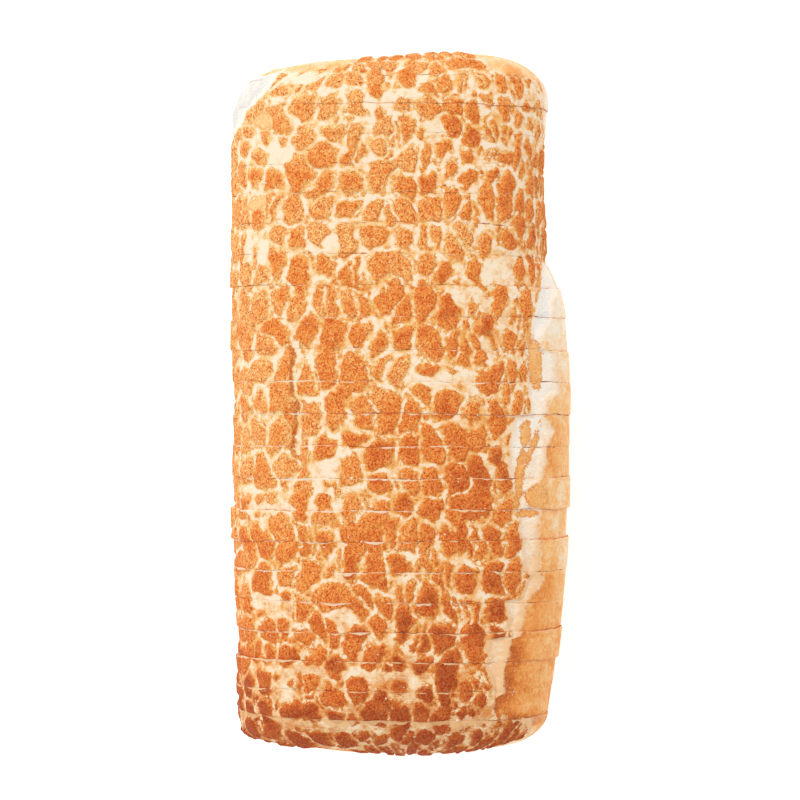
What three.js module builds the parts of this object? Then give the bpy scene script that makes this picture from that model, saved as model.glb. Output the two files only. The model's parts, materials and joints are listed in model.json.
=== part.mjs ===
// A sliced tiger-crust tin loaf: white bread baked in a tin, its domed top brushed with a paste
// that cracked into plates as the dough rose. It is cut into slices that still stand together,
// so each slice is a solid of its own, a knife's gap from the next.
// Millimetres. X runs across the loaf, Y along it and Z up, and it rests on z = 0.
import * as THREE from "three";

const { smoothstep, lerp, degToRad } = THREE.MathUtils;

// The loaf as a whole
const LENGTH = 250; // over both heels
const CROWN = 116; // height of the crown at the loaf's middle
const CROWN_DROP = 3; // how much lower it is at both ends
const SHOULDER = 72; // height of the widest place, just under the tin's rim
const LEFT_REACH = 60.4; // from the middle to the left side
const RIGHT_REACH = 61.8; // from the middle to the right side, where it bulges out of the tin
const BASE_TAPER = 3; // how far each wall leans in at the base
const DOME_POWER = 2.6; // 2 is an ellipse, more is a squarer dome
const TIN_POWER = 10; // the same for the part that the tin shaped
const TIN_SAG = 1.2; // how far the lower curve reaches past the base, which is cut flat there

// The right side is narrow along the far third, then bulges, then draws in again
const NARROW_BY = 8.2;
const BULGE_FROM = 52; // place along the loaf where the bulge begins
const BULGE_WITHIN = 13; // distance in which most of the bulge is reached
const WAIST = { at: 82, depth: 1.4, width: 16 };
const DRAWN_IN = { from: -15, bend: 0.00088 };
const LEFT_DRAWN_IN = { from: 40, bend: 0.00012 };

// Rounding of the two ends, at the crown, at each side and at the base
const FAR_END = { crown: 20, left: 27, right: 18, base: 6, bow: 4.2, peak: 18 };
const NEAR_END = { crown: 26, left: 7, right: 13, base: 6, bow: 7.5, peak: 3 };
const BOW_POWER = 1.7; // the bow of an end, seen from above, is a little flatter than a parabola

// The slices
const SLICES = 23;
const FIRST_CUT = 115.6; // place of the cut nearest the far end
const LAST_CUT = -110.8;
const CUT_WANDER = 1.8; // slices are a little thinner in the middle of the loaf
const CUT_SKEW = 0.6; // how far a cut runs off square at the loaf's side
const KNIFE_GAP = 0.3;
const SLICE_SHIFT = 0.8; // slices stand up to this far to the left or right
const SLICE_SINK = 0.006; // and are up to this share lower
const SHIFT_SEED = 1721;
const SINK_SEED = 29;
const SKEW_SEED = 5;

// The crust
const PLATE_RISE = 1; // height of a crust plate over the skin between the plates
const PLATE_ACROSS = 6.6; // pitch of the plates across the loaf
const PLATE_ALONG = { middle: 8.4, growth: 0.0095 }; // pitch along it, larger at the near end
const PLATE_JITTER = 0.78;
const CRACK = 1; // half the width of a crack between two plates
const PLATE_EDGE = 0.9; // width of a plate's sloping rim
const PLATES_DOWN_LEFT = 96; // from the crown, over the surface
const PLATES_DOWN_RIGHT = 88;
const PLATES_RIGHT_LINE = { at: -100, x: 35.5, slope: 0.114 }; // where they stop on the near part
const FAR_LEFT_TEAR = { x: -56.5, y: 100, slope: 1.28 }; // past this line the corner is bare
const SHRED = { depth: 1.6, width: 4, inset: 5 }; // torn groove beside the plates
const TROUGH = { x: -36, depth: 1, width: 3, reach: 25 };
const LUMP_TOP = 1.1;
const LUMP_SIDE = 0.5;

// Fineness of the mesh
const TOP_EDGE = degToRad(-10); // the crust is fine down to this angle under the shoulder
const TOP_STEPS = 64;
const HEEL_RINGS = 6;
const MESH_STRETCHES = [
  // degrees round the section, from and to, and the number of steps
  [190, 224, 4],
  [224, 236, 4],
  [236, 304, 6],
  [304, 316, 4],
  [316, 350, 4],
];

// A number from 0 to 1 that is always the same for the same pair.
function chance(i, j) {
  const wave = Math.sin(i * 127.1 + j * 311.7) * 43758.5453;
  return wave - Math.floor(wave);
}

function leftReach(y) {
  return LEFT_REACH - LEFT_DRAWN_IN.bend * Math.min(0, y - LEFT_DRAWN_IN.from) ** 2;
}

function rightReach(y) {
  const bulge = 1 - Math.exp(-Math.max(0, BULGE_FROM - y) / BULGE_WITHIN);
  const waist = WAIST.depth * Math.exp(-(((y - WAIST.at) / WAIST.width) ** 2));
  const drawnIn = DRAWN_IN.bend * Math.max(0, DRAWN_IN.from - y) ** 2;
  return RIGHT_REACH - NARROW_BY * (1 - bulge) - waist - drawnIn;
}

// Distance from the section's middle, at shoulder height, to its outline. The angle is 0 to the
// right and a quarter turn at the crown.
function sectionRadius(angle, y) {
  const across = Math.abs(Math.cos(angle));
  const up = Math.sin(angle);
  const reach = Math.cos(angle) < 0 ? leftReach(y) : rightReach(y);
  const half = reach - (up < 0 ? BASE_TAPER * -up : 0);
  const dome = CROWN - CROWN_DROP * ((2 * y) / LENGTH) ** 2 - SHOULDER;
  const height = up < 0 ? SHOULDER + TIN_SAG : dome;
  const power = up < 0 ? TIN_POWER : DOME_POWER;
  return ((across / half) ** power + (Math.abs(up) / height) ** power) ** (-1 / power);
}

// Distance over the surface from the crown, to the right, on the section at the loaf's middle.
const ARC_STEPS = 720;
const arcTable = [0];
for (let k = 1; k <= ARC_STEPS; k++) {
  const [from, to] = [k - 1, k].map((step) => {
    const angle = Math.PI / 2 - (step / ARC_STEPS) * Math.PI;
    const radius = sectionRadius(angle, 0);
    return new THREE.Vector2(Math.cos(angle) * radius, Math.sin(angle) * radius);
  });
  arcTable.push(arcTable[k - 1] + from.distanceTo(to));
}

function arcFromCrown(angle) {
  const turned = Math.PI / 2 - Math.atan2(Math.sin(angle), Math.cos(angle));
  const side = turned > Math.PI ? -1 : Math.sign(turned);
  const place = (Math.min(Math.abs(turned), 2 * Math.PI - Math.abs(turned)) / Math.PI) * ARC_STEPS;
  const step = Math.min(Math.floor(place), ARC_STEPS - 1);
  return side * lerp(arcTable[step], arcTable[step + 1], place - step);
}

function endOf(y) {
  return y > 0 ? FAR_END : NEAR_END;
}

// How far an end wall stands back from the loaf's full length at a place on it.
function endSetBack(way, x, z) {
  const { bow, peak } = endOf(way);
  const lean = BASE_TAPER * Math.max(0, 1 - z / SHOULDER);
  return bow * Math.abs((x - peak) / RIGHT_REACH) ** BOW_POWER + lean;
}

// Radius of the rounding between the loaf's skin and its end wall.
function endRound(angle, y) {
  const end = endOf(y);
  const side = Math.cos(angle) < 0 ? end.left : end.right;
  const rise = Math.sin(angle);
  return lerp(side, rise < 0 ? end.base : end.crown, rise * rise);
}

// Path length along the loaf's skin from its middle to the place y, round the end's curve.
function pathAlong(angle, y) {
  const round = endRound(angle, y);
  const straight = LENGTH / 2 - round;
  const past = Math.abs(y) - straight;
  if (past <= 0) return y;
  return Math.sign(y) * (straight + round * Math.asin(Math.min(1, past / round)));
}

// The other way round: the place along the loaf, and how far the skin has turned in there.
function placeAlong(angle, path) {
  const round = endRound(angle, path);
  const straight = LENGTH / 2 - round;
  const turn = Math.max(0, (Math.abs(path) - straight) / round);
  const y = turn > 0 ? Math.sign(path) * (straight + round * Math.sin(turn)) : path;
  return { y, inset: round * (1 - Math.cos(turn)) };
}

// How far a place on the crust lies inside its plate; below zero it is in a crack. The plates
// are the cells round a jittered grid of points.
function plateDepth(arc, path) {
  const { middle, growth } = PLATE_ALONG;
  const across = arc / PLATE_ACROSS;
  const along = -Math.log(1 - (growth * path) / middle) / growth;
  const scaleAlong = middle - growth * path;
  const cells = [];
  for (let i = Math.floor(across) - 2; i <= Math.floor(across) + 2; i++) {
    for (let j = Math.floor(along) - 2; j <= Math.floor(along) + 2; j++) {
      const x = (i + 0.5 + PLATE_JITTER * (chance(i, j) - 0.5) - across) * PLATE_ACROSS;
      const y = (j + 0.5 + PLATE_JITTER * (chance(i + 57, j + 113) - 0.5) - along) * scaleAlong;
      cells.push(new THREE.Vector2(x, y));
    }
  }
  const nearest = cells.reduce((a, b) => (a.lengthSq() < b.lengthSq() ? a : b));
  const edges = cells
    .filter((cell) => cell !== nearest)
    .map((cell) => (cell.lengthSq() - nearest.lengthSq()) / (2 * cell.distanceTo(nearest)));
  return Math.min(...edges) - CRACK;
}

// The line on the right where the plates stop, on the near part of the loaf.
function plateLine(y) {
  const { at, x, slope } = PLATES_RIGHT_LINE;
  return x + slope * (y - at);
}

// 1 where the crust is in plates and 0 where it is smooth or torn.
function platesGrow(arc, x, y) {
  if (arc < -PLATES_DOWN_LEFT || arc > PLATES_DOWN_RIGHT) return 0;
  const tear = FAR_LEFT_TEAR;
  if (y - tear.y > tear.slope * (x - tear.x)) return 0;
  return y < BULGE_FROM && x > plateLine(y) ? 0 : 1;
}

function hollow(distance, width) {
  return Math.exp(-((distance / width) ** 2));
}

// Everything that lifts or sinks the crust from its plain section.
function relief(angle, path, x, y) {
  const arc = arcFromCrown(angle);
  const up = Math.sin(angle);
  if (up < -0.6) return 0;
  const lumps =
    Math.sin(arc / 13 + 1.3 * Math.sin(path / 31)) * Math.sin(path / 23 + 0.7) * 0.6 +
    Math.sin(arc / 29 - path / 47 + 2) * 0.4;
  const swell = lerp(LUMP_SIDE, LUMP_TOP, Math.max(0, up)) * lumps * smoothstep(up, -0.6, -0.2);
  const plate = platesGrow(arc, x, y) * PLATE_RISE * smoothstep(plateDepth(arc, path), 0, PLATE_EDGE);
  const groove = up > 0 ? smoothstep(-y, -BULGE_FROM, 10 - BULGE_FROM) : 0;
  const shred = SHRED.depth * groove * hollow(x - plateLine(y) - SHRED.inset, SHRED.width);
  const inTrough = up > 0 ? 1 - smoothstep(Math.abs(y), TROUGH.reach - 8, TROUGH.reach + 8) : 0;
  const trough = TROUGH.depth * inTrough * hollow(x - TROUGH.x, TROUGH.width);
  return swell + plate - shred - trough;
}

// A point of the crust. The base stays flat.
function crustPoint(angle, path, slice) {
  const { y, inset } = placeAlong(angle, path);
  const plain = sectionRadius(angle, y) - inset;
  const radius = plain + relief(angle, path, plain * Math.cos(angle), y) - PLATE_RISE / 2;
  const x = radius * Math.cos(angle) + slice.shift;
  const z = Math.max(0, (SHOULDER + radius * Math.sin(angle)) * slice.height);
  return new THREE.Vector3(x, y, z);
}

// The angles at which every section has its points: even steps over the plates, few elsewhere.
function sectionAngles() {
  const top = [];
  const fineArc = arcFromCrown(TOP_EDGE);
  for (let k = 0; k < TOP_STEPS; k++) {
    const wanted = fineArc * (1 - (2 * k) / TOP_STEPS);
    let angle = Math.PI / 2;
    const turn = Math.sign(wanted) * degToRad(0.1);
    while (Math.abs(arcFromCrown(angle)) < Math.abs(wanted)) angle -= turn;
    top.push(angle);
  }
  const rest = MESH_STRETCHES.flatMap(([from, to, steps]) =>
    Array.from({ length: steps }, (_, k) => degToRad(lerp(from, to, k / steps))),
  );
  return [...top, ...rest];
}

const angles = sectionAngles();

// The plane of a cut: its place at the loaf's middle and its skew.
function cutPlane(k) {
  const share = k / (SLICES - 2);
  const even = lerp(FIRST_CUT, LAST_CUT, share);
  const skew = CUT_SKEW * (2 * chance(k, SKEW_SEED) - 1);
  return { y: even + CUT_WANDER * Math.sin(2 * Math.PI * share), skew: skew / RIGHT_REACH };
}

// A section through the loaf on a plane, set off from it along the loaf.
function sectionOn(plane, offset, slice) {
  return angles.map((angle) => {
    const point = crustPoint(angle, pathAlong(angle, plane.y), slice);
    point.y = plane.y + plane.skew * point.x + offset;
    return point;
  });
}

// The section halfway between two planes.
function sectionBetween(front, back, slice) {
  const middle = { y: (front.y + back.y) / 2, skew: (front.skew + back.skew) / 2 };
  return sectionOn(middle, 0, slice);
}

// Two triangles for the patch between the points a, b of one section and c, d of the next, split
// along the shorter diagonal so that a plate's rim stays crisp.
function patch(points, a, b, c, d) {
  const shorter = points[a].distanceTo(points[d]) < points[b].distanceTo(points[c]);
  return shorter ? [a, d, b, a, c, d] : [a, c, b, b, c, d];
}

// Closes a row of sections, in the order of growing y, into one solid. An end is flat unless it
// has a tip.
function closedSolid(sections, frontTip, backTip) {
  const points = sections.flat();
  const faces = [];
  const count = angles.length;
  for (let ring = 0; ring + 1 < sections.length; ring++) {
    for (let k = 0; k < count; k++) {
      const next = (k + 1) % count;
      const [a, b] = [ring * count + k, ring * count + next];
      faces.push(...patch(points, a, b, a + count, b + count));
    }
  }
  const close = (section, first, tip, turned) => {
    const flat = section.map((point) => new THREE.Vector2(point.x, point.z));
    const fan = tip
      ? angles.map((_, k) => [k, (k + 1) % count, -1])
      : THREE.ShapeUtils.triangulateShape(flat, []);
    if (tip) points.push(tip);
    for (const corners of fan) {
      const face = corners.map((corner) => (corner < 0 ? points.length - 1 : first + corner));
      faces.push(...(turned ? face.reverse() : face));
    }
  };
  close(sections[0], 0, frontTip, false);
  close(sections[sections.length - 1], (sections.length - 1) * count, backTip, true);
  const geometry = new THREE.BufferGeometry().setFromPoints(points);
  geometry.setIndex(faces);
  return geometry;
}

// A slice stands a little to one side of its neighbours, and a little lower.
function stanceOf(k) {
  return {
    shift: SLICE_SHIFT * (2 * chance(k, SHIFT_SEED) - 1),
    height: 1 - SLICE_SINK * chance(k, SINK_SEED),
  };
}

function innerSlice(k) {
  const stance = stanceOf(k);
  const [back, front] = [cutPlane(k - 1), cutPlane(k)];
  return closedSolid([
    sectionOn(front, KNIFE_GAP / 2, stance),
    sectionBetween(front, back, stance),
    sectionOn(back, -KNIFE_GAP / 2, stance),
  ]);
}

// A heel runs from its cut over the rounded end to the end wall, which leans in like the sides.
function heel(k) {
  const stance = stanceOf(k);
  const way = k === 0 ? 1 : -1;
  const plane = cutPlane(k === 0 ? 0 : SLICES - 2);
  const sections = [sectionOn(plane, (way * KNIFE_GAP) / 2, stance)];
  for (let ring = 1; ring <= HEEL_RINGS; ring++) {
    const share = ring / HEEL_RINGS;
    sections.push(
      angles.map((angle) => {
        const round = endRound(angle, way);
        const last = way * (LENGTH / 2 - round + (round * Math.PI) / 2);
        const point = crustPoint(angle, lerp(pathAlong(angle, plane.y), last, share), stance);
        const setBack = endSetBack(way, point.x, point.z);
        point.y -= way * share * setBack - (1 - share) * plane.skew * point.x;
        return point;
      }),
    );
  }
  const onWall = (point) => point.setY(way * (LENGTH / 2 - endSetBack(way, point.x, point.z)));
  const rim = sections[HEEL_RINGS];
  const middle = new THREE.Vector3();
  rim.forEach((point) => middle.addScaledVector(point, 1 / rim.length));
  sections.push(rim.map((point) => onWall(point.clone().lerp(middle, 0.5))));
  return way > 0
    ? closedSolid(sections, null, onWall(middle))
    : closedSolid(sections.reverse(), onWall(middle), null);
}

function bakedCrust() {
  return new THREE.MeshStandardMaterial({ color: 0xd9935a, roughness: 0.85, metalness: 0 });
}

function nameOf(k) {
  if (k === 0) return "heel_far";
  return k === SLICES - 1 ? "heel_near" : `slice_${String(k).padStart(2, "0")}`;
}

const loaf = new THREE.Group();
for (let k = 0; k < SLICES; k++) {
  const shape = k === 0 || k === SLICES - 1 ? heel(k) : innerSlice(k);
  const mesh = new THREE.Mesh(shape, bakedCrust());
  mesh.name = nameOf(k);
  loaf.add(mesh);
}

export default loaf;
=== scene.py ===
import json
import math
from types import SimpleNamespace

import bmesh
import bpy
import numpy as np
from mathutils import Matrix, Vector

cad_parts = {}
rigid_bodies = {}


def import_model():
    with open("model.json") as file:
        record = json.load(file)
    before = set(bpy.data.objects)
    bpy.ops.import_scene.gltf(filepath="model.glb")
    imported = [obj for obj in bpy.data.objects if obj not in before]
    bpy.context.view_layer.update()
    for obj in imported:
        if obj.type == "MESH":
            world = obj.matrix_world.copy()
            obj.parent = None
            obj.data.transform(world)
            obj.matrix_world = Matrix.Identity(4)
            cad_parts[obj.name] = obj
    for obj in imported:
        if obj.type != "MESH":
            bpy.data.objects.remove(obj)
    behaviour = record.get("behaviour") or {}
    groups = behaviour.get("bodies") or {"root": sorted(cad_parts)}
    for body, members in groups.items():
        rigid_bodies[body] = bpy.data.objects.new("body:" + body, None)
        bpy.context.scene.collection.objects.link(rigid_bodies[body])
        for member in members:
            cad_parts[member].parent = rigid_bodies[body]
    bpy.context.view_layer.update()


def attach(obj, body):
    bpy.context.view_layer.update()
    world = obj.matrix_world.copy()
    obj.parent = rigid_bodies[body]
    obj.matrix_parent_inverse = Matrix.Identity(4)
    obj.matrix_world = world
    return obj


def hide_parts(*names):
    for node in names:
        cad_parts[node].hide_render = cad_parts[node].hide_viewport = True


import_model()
mm = 0.001  # sizes below are in millimetres, meshes in metres
fullTurn = 2 * math.pi

# The loaf's form, the same as in the part's source.
loaf = {
    "length": 250,
    "crown": 116,
    "crownDrop": 3,  # at both ends
    "shoulder": 72,  # height of the widest place
    "leftReach": 60.4,
    "rightReach": 61.8,
    "lean": 3,  # of the walls, towards the base
    "domePower": 2.6,
    "tinPower": 10,
    "tinSag": 1.2,
    "narrowBy": 8.2,  # on the right, beyond the bulge
    "bulgeFrom": 52,
    "bulgeWithin": 13,
    "waistAt": 82,
    "waistDepth": 1.4,
    "waistWidth": 16,
    "drawnInFrom": -15,
    "drawnInBend": 0.00088,
    "leftDrawnInFrom": 40,
    "leftDrawnInBend": 0.00012,
    "bowPower": 1.7,
}
farEnd = {"crown": 20, "left": 27, "right": 18, "base": 6, "bow": 4.2, "peak": 18}
nearEnd = {"crown": 26, "left": 7, "right": 13, "base": 6, "bow": 7.5, "peak": 3}


def chance(i, j):
    wave = np.sin(i * 127.1 + j * 311.7) * 43758.5453
    return wave - np.floor(wave)


def lerp(a, b, share):
    return a + (b - a) * share


def smoothStep(low, high, x):
    share = np.clip((x - low) / (high - low), 0, 1)
    return share * share * (3 - 2 * share)


def drift(x, y, size, seed):
    # smooth noise from -1 to 1, whose lumps are about one size across
    turn = 0.7 + seed * 1.9
    u = (x * math.cos(turn) + y * math.sin(turn)) / size + seed * 7.31
    v = (y * math.cos(turn) - x * math.sin(turn)) / size - seed * 3.17
    i, j = np.floor(u), np.floor(v)
    a, b = smoothStep(0, 1, u - i), smoothStep(0, 1, v - j)
    low = lerp(chance(i, j), chance(i + 1, j), a)
    high = lerp(chance(i, j + 1), chance(i + 1, j + 1), a)
    return 2 * lerp(low, high, b) - 1


# What makes edges waver: drifts that are added up, each with its strength, size and seed.
waves = {
    "cellsAcross": [(2.4, 17, 31), (1.3, 4.5, 1), (0.6, 2.2, 2)],
    "cellsAlong": [(2.4, 17, 32), (1.3, 4.5, 3), (0.6, 2.2, 4)],
    "ragged": [(1.3, 9, 11), (0.5, 2.2, 12)],
    "seam": [(-1.6, 13, 18), (-0.9, 4, 22)],
    "tear": [(0.7, 4, 16), (0.4, 1.6, 17)],
    "cut": [(0.45, 13, 42), (0.2, 3.5, 43), (0.1, 1.3, 47)],
    "cutTorn": [(1, 7, 40), (0.5, 1.3, 41)],
    "baredAndLitFar": [(1.1, 6, 44), (0.6, 1.7, 46)],
    "baredNear": [(0.3, 4, 45)],
}


def waver(x, y, name, start=0):
    for strength, size, seed in waves[name]:
        start = start + strength * drift(x, y, size, seed)
    return start


# Steps in i and j to the chance value that a cell draws for each use.
draws = {
    "placeAcross": (0, 0),
    "placeAlong": (57, 113),
    "tone": (11, 7),
    "shrink": (23, 5),
    "missing": (31, 77),
    "twin": (45, 12),
    "splitTurn": (9, 83),
    "splitPlace": (71, 37),
    "tiltAcross": (5, 55),
    "tiltAlong": (66, 6),
}


def draw(i, j, use):
    stepI, stepJ = draws[use]
    return chance(i + stepI, j + stepJ)


def hollow(distance, width):
    return np.exp(-((distance / width) ** 2))


def leftReach(y):
    back = np.minimum(0, y - loaf["leftDrawnInFrom"])
    return loaf["leftReach"] - loaf["leftDrawnInBend"] * back**2


def rightReach(y):
    bulge = 1 - np.exp(-np.maximum(0, loaf["bulgeFrom"] - y) / loaf["bulgeWithin"])
    waist = loaf["waistDepth"] * hollow(y - loaf["waistAt"], loaf["waistWidth"])
    drawnIn = loaf["drawnInBend"] * np.maximum(0, loaf["drawnInFrom"] - y) ** 2
    return loaf["rightReach"] - loaf["narrowBy"] * (1 - bulge) - waist - drawnIn


def sectionRadius(angle, y):
    across, up = np.abs(np.cos(angle)), np.sin(angle)
    reach = np.where(np.cos(angle) < 0, leftReach(y), rightReach(y))
    half = reach + np.minimum(0, up) * loaf["lean"]
    dome = loaf["crown"] - loaf["crownDrop"] * (2 * y / loaf["length"]) ** 2 - loaf["shoulder"]
    height = np.where(up < 0, loaf["shoulder"] + loaf["tinSag"], dome)
    power = np.where(up < 0, loaf["tinPower"], loaf["domePower"])
    return ((across / half) ** power + (np.abs(up) / height) ** power) ** (-1 / power)


# Distance over the surface from the crown to each angle, on the section at the loaf's middle.
tableTurns = np.linspace(0, math.pi, 721)
tableAngles = math.pi / 2 - tableTurns
tableRadii = sectionRadius(tableAngles, 0.0)
tablePoints = np.stack([np.cos(tableAngles), np.sin(tableAngles)]) * tableRadii
tableSteps = np.linalg.norm(np.diff(tablePoints), axis=0)
tableArcs = np.concatenate([[0], np.cumsum(tableSteps)])
halfRound = tableArcs[-1]


def angleAt(arc):
    return math.pi / 2 - np.sign(arc) * np.interp(np.abs(arc), tableArcs, tableTurns)


def endValue(y, name):
    return np.where(y > 0, farEnd[name], nearEnd[name])


def endRound(angle, y):
    side = np.where(np.cos(angle) < 0, endValue(y, "left"), endValue(y, "right"))
    rise = np.sin(angle)
    return lerp(side, np.where(rise < 0, endValue(y, "base"), endValue(y, "crown")), rise**2)


def endSetBack(way, x, z):
    bow = endValue(way, "bow") * (np.abs(x - endValue(way, "peak")) / loaf["rightReach"]) ** loaf["bowPower"]
    return bow + loaf["lean"] * np.maximum(0, 1 - z / loaf["shoulder"])


def pathAlong(angle, y):
    rounding = endRound(angle, y)
    straight = loaf["length"] / 2 - rounding
    past = np.clip((np.abs(y) - straight) / rounding, 0, 1)
    return np.where(past > 0, np.sign(y) * (straight + rounding * np.arcsin(past)), y)


def placeAlong(angle, path):
    rounding = endRound(angle, path)
    straight = loaf["length"] / 2 - rounding
    turn = np.clip((np.abs(path) - straight) / rounding, 0, math.pi / 2)
    y = np.where(turn > 0, np.sign(path) * (straight + rounding * np.sin(turn)), path)
    return y, rounding * (1 - np.cos(turn)), turn


def lineAt(y, points):
    ys, xs = zip(*reversed(points))
    return np.interp(y, ys, xs)


def countCells(distance, sizes):
    # how many cells fit up to a distance where their size changes, and their size there
    places = np.linspace(-200, 200, 801)
    counts = np.cumsum(np.diff(places, prepend=places[0]) / np.interp(places, *sizes))
    return np.interp(distance, places, counts), np.interp(distance, *sizes)


def cellsRound(arc, path, cell):
    # for each point the nearest cell, where the point lies in it, and the smooth distance to its border
    across, wide = countCells(arc, cell["across"])
    along, high = countCells(path, cell["along"])
    i0, j0 = np.floor(across), np.floor(along)
    near = np.full(arc.shape, np.inf)
    nearI, nearJ, nearX, nearY = (np.zeros(arc.shape) for _ in range(4))
    around = []
    for di in range(-2, 3):
        for dj in range(-2, 3):
            i, j = i0 + di, j0 + dj
            x = i + 0.5 + cell["jitter"] * (draw(i, j, "placeAcross") - 0.5) - across
            y = j + 0.5 + cell["jitter"] * (draw(i, j, "placeAlong") - 0.5) - along
            far = x * x + y * y
            around.append((i, j, x, y, far))
            closer = far < near
            near = np.where(closer, far, near)
            nearI, nearJ = np.where(closer, i, nearI), np.where(closer, j, nearJ)
            nearX, nearY = np.where(closer, x, nearX), np.where(closer, y, nearY)
    total = np.zeros(arc.shape)
    for i, j, x, y, far in around:
        apart = np.hypot(x - nearX, y - nearY)
        own = apart < 1e-9
        toBorder = (far - near) / (2 * np.where(own, 1, np.hypot((x - nearX) / wide, (y - nearY) / high)))
        pair = chance(3 * (i + nearI) + abs(i - nearI), 5 * (j + nearJ) + abs(j - nearJ))
        bond = cell["bond"] + cell["bondAlong"] * (i == nearI)
        total += np.where(own | (pair < bond), 0, np.exp(-cell["roundness"] * toBorder))
    return nearI, nearJ, -nearX * wide, -nearY * high, -np.log(total + 1e-12) / cell["roundness"]


# The crackled paste. Cells of a jittered grid become plates.
plates = {
    "rise": 0.75,
    # distance over the surface, from the crown and along the loaf, and the plates' size there
    "across": ([-100, -40, 0, 30, 50, 100], [8.8, 9.4, 8.8, 8, 6.4, 5]),
    "along": (
        [-150, -90, -40, -5, 45, 75, 100, 140],
        [10.5, 10.2, 11, 12.6, 11.8, 9.6, 8.4, 7.5],
    ),
    "jitter": 0.74,
    "crack": 0.08,  # half the least width of a crack
    "crackMore": 1.25,  # added where the crust opened up
    "openWide": (15, 5),  # size and seed of the areas that opened up
    "openNear": (5.5, 6),  # and of the places within them
    "bond": 0.05,  # share of neighbours that never parted
    "bondAlong": 0.13,  # added between neighbours along the loaf
    "roundness": 1.25,  # of the plates' corners, 1 / mm
    "shrink": 0.7,  # some plates are smaller by up to this
    "missing": 0.015,
    "twin": 0.14,  # share of plates that split once more
    "twinRight": 0.25,
    "twinSpan": (5, 45),  # from the crown, over which it grows to that
    "splitTurn": 0.9,  # how far the splits turn and move from one to the next
    "splitShift": 1.4,
    "splitGap": 0.25,
    "splitMore": 0.35,  # added where the crust opened up
    "island": 0.4,  # share of open places that hold a small piece
    "tilt": 0.07,
    "edge": 1.25,  # how far in from its edge a plate has its full rise
    "downLeft": 60,  # height at which the plates end on each side
    "downRight": 73,
    # x, and how many degrees they go round the end there
    "roundFar": ([-50, -20, -12, 14, 26, 34, 46], [45, 50, 88, 88, 70, 35, 28]),
    "roundNear": ([-60, -45, -20, 0, 30, 42], [58, 64, 80, 88, 78, 50]),
}
noPaste = 2.4  # taken off a plate's depth where the paste is gone
nowhere = -9  # a depth far outside everything

# Small pieces in the open places between plates.
islands = {
    "across": ([0, 100], [3.6, 3]),
    "along": ([-125, 125], [4.4, 4]),
    "jitter": 0.9,
    "bond": 0.1,
    "bondAlong": 0,
    "roundness": 2.5,
    "inset": 0.35,
    "clear": 0.55,  # to the plates round it
}


def plateField(arc, path):
    # depth inside a plate, below 0 in a crack, and each plate's own tone and tilt
    bentArc, bentPath = waver(arc, path, "cellsAcross", arc), waver(arc, path, "cellsAlong", path)
    i, j, inX, inY, border = cellsRound(bentArc, bentPath, plates)
    openWide = 0.5 + 0.5 * drift(arc, path, *plates["openWide"])
    openNear = 0.5 + 0.5 * drift(arc, path, *plates["openNear"])
    crack = plates["crack"] + plates["crackMore"] * (0.4 * openWide + 0.6 * openNear) ** 2
    depth = border - crack - plates["shrink"] * draw(i, j, "shrink") ** 2
    depth = np.where(draw(i, j, "missing") < plates["missing"], -2, depth)

    turn = plates["splitTurn"] * (draw(i, j, "splitTurn") - 0.5)
    shift = plates["splitShift"] * (draw(i, j, "splitPlace") - 0.5)
    toSplit = np.abs(inX * np.cos(turn) + inY * np.sin(turn) - shift)
    toSplit = toSplit - plates["splitGap"] - plates["splitMore"] * openNear
    twinShare = lerp(plates["twin"], plates["twinRight"], smoothStep(*plates["twinSpan"], arc))
    depth = np.where(draw(i, j, "twin") < twinShare, np.minimum(depth, toSplit), depth)

    smallI, smallJ, _, _, smallBorder = cellsRound(arc, path, islands)
    island = np.minimum(smallBorder - islands["inset"], -depth - islands["clear"])
    island = np.where(chance(smallI, smallJ) < plates["island"], island, nowhere)
    tilt = inX * (draw(i, j, "tiltAcross") - 0.5) + inY * (draw(i, j, "tiltAlong") - 0.5)
    return np.maximum(depth, island), draw(i, j, "tone"), plates["tilt"] * tilt


def oval(x, y, shape):
    # distance in from the edge of an oval, about
    centreX, centreY, halfX, halfY, turn = shape
    along, aside = math.cos(math.radians(turn)), math.sin(math.radians(turn))
    u = ((x - centreX) * along + (y - centreY) * aside) / halfX
    v = ((y - centreY) * along - (x - centreX) * aside) / halfY
    return (1 - np.hypot(u, v)) * min(halfX, halfY)


# A straight crack in the paste along the trough, with painted shade darkening the plates' edge on its left.
seam = {
    "x": -37.5,
    "slope": -0.045,
    "middle": 2,  # y
    "reach": 24,  # each way from there
    "fade": 8,
    "gap": 0.75,
    "ridge": 3.4,  # width of the paste on its left
}


def seamField(depth, arc, path, x, y, z, ragged):
    # the plates' depth with the straight crack and its ridge in them, and where painted shade darkens them
    # beside the crack
    toSeam = x - seam["x"] - seam["slope"] * (y - seam["middle"]) - 0.9 * ragged
    toSeam = waver(arc, path, "seam", toSeam)
    away = np.abs(y - seam["middle"])
    inSeam = smoothStep(seam["reach"], seam["reach"] - seam["fade"], away) * (z > loaf["shoulder"])
    gap = seam["gap"] * (1 + 0.9 * drift(arc, path, 6, 19))
    ridgeWide = seam["ridge"] + 3.4 * drift(arc, path, 5, 21)
    ridge = np.minimum(-toSeam, toSeam + ridgeWide) - 4 * (1 - inSeam)
    depth = np.maximum(depth, ridge)
    depth = np.where(inSeam > 0.5, np.minimum(depth, np.abs(toSeam - gap) - gap), depth)
    # painted shade on the ridge's edge beside the crack
    beside = smoothStep(-2, -0.4, toSeam) * smoothStep(0.6, 0, toSeam)
    return depth, inSeam * beside * smoothStep(0, 0.3, depth)


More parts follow.
